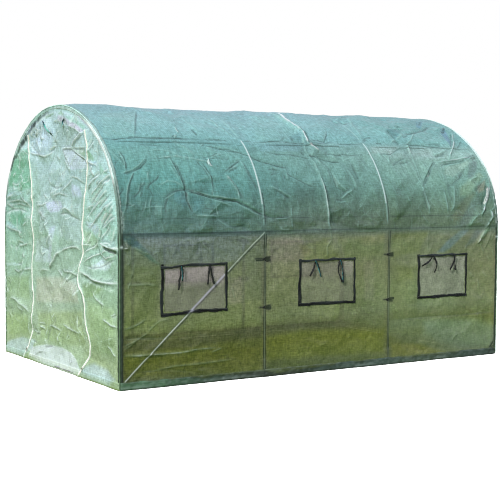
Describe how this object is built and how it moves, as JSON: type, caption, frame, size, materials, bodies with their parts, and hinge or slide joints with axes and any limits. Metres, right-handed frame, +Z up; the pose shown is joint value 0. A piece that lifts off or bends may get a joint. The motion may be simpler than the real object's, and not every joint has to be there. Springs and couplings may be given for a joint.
{
  "type": "polytunnel greenhouse",
  "caption": "Walk-in polytunnel: bent steel tube hoops and rails under a translucent green woven cover, with screened side windows and a zipped door in one end.",
  "frame": {"origin": "on the ground, in the middle of the plan", "axes": "+X along the tunnel away from the end with the door, +Y across it, +Z up"},
  "size_m": [3.506, 2.161, 1.9998],
  "materials": {
    "tube": "galvanised round tube, dull grey, slightly mottled",
    "fitting": "galvanised pressed tube connectors",
    "cover": "translucent green woven polyethylene, creased, with a fine grid of tapes and a soft gloss",
    "screen": "fine pale insect mesh",
    "black_tape": "black woven tape, sewn on or tied",
    "zip": "white coil zip on white tape",
    "piping": "doubled and welded edge of the cover, pale where light catches it",
    "hem": "doubled hem of the cover, darker blue-green"
  },
  "bodies": {
    "root": {"bottom_hem": "hem", "brace_back": "tube", "brace_front": "tube", "corner_straps": "black_tape", "door_panel": "cover", "door_ties": "black_tape", "door_zips": "zip", "eave_fittings": "fitting", "eave_rails_back": "tube", "eave_rails_front": "tube", "edge_piping_door_end": "piping", "edge_piping_rear_end": "piping", "end_wall_door": "cover", "end_wall_rear": "cover", "ground_fittings": "fitting", "ground_rail_door_end": "tube", "ground_rail_rear_end": "tube", "ground_rails_back": "tube", "ground_rails_front": "tube", "hoop_1_arch": "tube", "hoop_1_posts": "tube", "hoop_2_arch": "tube", "hoop_2_posts": "tube", "hoop_3_arch": "tube", "hoop_3_posts": "tube", "hoop_4_arch": "tube", "hoop_4_posts": "tube", "post_straps_back": "black_tape", "post_straps_front": "black_tape", "ridge_fittings": "fitting", "ridge_rails": "tube", "roof_crown": "cover", "roof_slope_back": "cover", "roof_slope_front": "cover", "shoulder_fittings": "fitting", "shoulder_rails_back": "tube", "shoulder_rails_front": "tube", "side_wall_back": "cover", "side_wall_front": "cover", "window_borders_back": "black_tape", "window_borders_front": "black_tape", "window_screens_back": "screen", "window_screens_front": "screen", "window_ties_back": "black_tape", "window_ties_front": "black_tape"}
  },
  "joints": []
}
